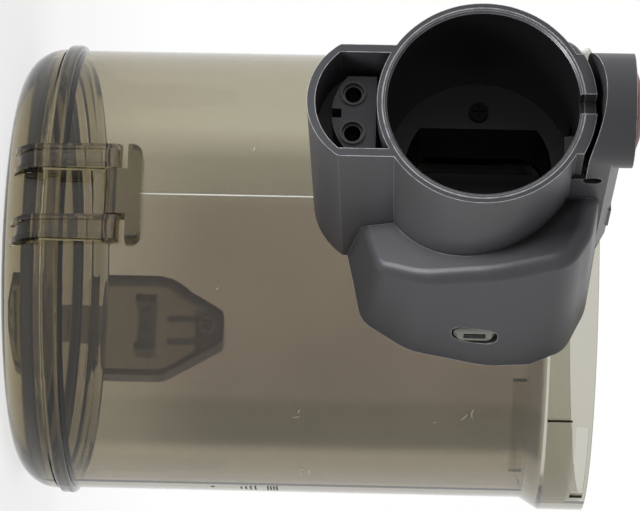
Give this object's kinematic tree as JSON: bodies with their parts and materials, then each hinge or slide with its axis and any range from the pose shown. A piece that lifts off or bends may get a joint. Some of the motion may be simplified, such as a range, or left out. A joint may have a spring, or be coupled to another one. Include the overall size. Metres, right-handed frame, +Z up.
{
  "type": "vacuum cleaner dust canister",
  "caption": "Smoky clear dust canister of a stick vacuum cleaner, with a drop-down lid, a latch lever and a dark neck that holds the wand port, power sockets and release button.",
  "frame": {"origin": "middle of the lid's flat underside, on the canister's axis", "axes": "+Z up the canister's axis from the lid to the open mouth; -Y out of the wand port; +X to the right seen from the port; the canister stands on its lid"},
  "size_m": [0.1108, 0.1839, 0.1371],
  "materials": {
    "smoke_clear": "smoky clear moulded plastic, polished, with fine scuffs",
    "seal_rubber": "soft black seal rubber",
    "neck_paint": "dark grey metallic paint with fine flake, satin",
    "liner_black": "black moulded plastic, fine grain",
    "socket_plastic": "dark grey glass-filled plastic",
    "button_red": "dark red plastic, semi-gloss",
    "pin_steel": "drawn steel wire and pins",
    "contact_brass": "stamped brass"
  },
  "bodies": {
    "canister": {"canister_shell": "smoke_clear", "hinge_pin": "smoke_clear", "latch_pin": "smoke_clear", "lever_spring": "pin_steel", "neck_housing": "neck_paint", "port_sleeve": "liner_black", "duct_gasket": "seal_rubber", "sleeve_screw": "pin_steel", "flap_pin": "pin_steel", "flap_spring": "pin_steel", "socket_block": "socket_plastic", "left_contact": "contact_brass", "right_contact": "contact_brass", "left_strip": "contact_brass", "right_strip": "contact_brass", "terminal_block": "liner_black", "button_spring": "pin_steel", "rocker_pin": "pin_steel", "rocker_spring": "pin_steel"},
    "lid": {"lid_cover": "smoke_clear", "lid_seal": "seal_rubber"},
    "lever": {"latch_lever": "smoke_clear"},
    "button": {"release_button": "button_red"},
    "rocker": {"wand_latch": "liner_black"},
    "flap": {"inlet_flap": "seal_rubber"}
  },
  "joints": [
    {"name": "lid_hinge", "type": "hinge", "parent": "canister", "child": "lid", "pos_m": [0, -0.0544, 0.0253], "axis": [-1, 0, 0], "range_deg": [0, 95]},
    {"name": "lever_hinge", "type": "hinge", "parent": "canister", "child": "lever", "pos_m": [-0.0025, 0.058, 0.024], "axis": [1, 0, 0], "range_deg": [0, 8], "stiffness_Nm_per_rad": 0.12, "springref_deg": -5.73, "deforming": ["lever_spring"]},
    {"name": "button_slide", "type": "slide", "parent": "canister", "child": "button", "axis": [0, 0, -1], "range_m": [0, 0.002], "stiffness_N_per_m": 120, "springref_m": -0.001, "deforming": ["button_spring"]},
    {"name": "rocker_hinge", "type": "hinge", "parent": "canister", "child": "rocker", "pos_m": [0, -0.0925, 0.1305], "axis": [1, 0, 0], "range_deg": [0, 18.5]},
    {"name": "flap_hinge", "type": "hinge", "parent": "canister", "child": "flap", "pos_m": [-0.0126, -0.0446, 0.1053], "axis": [0, 0, 1], "range_deg": [0, 70], "stiffness_Nm_per_rad": 0.01, "springref_deg": -8.59}
  ],
  "couplings": [
    {"joint": "rocker_hinge", "follows": "button_slide", "rad_per_m": 161.4}
  ]
}
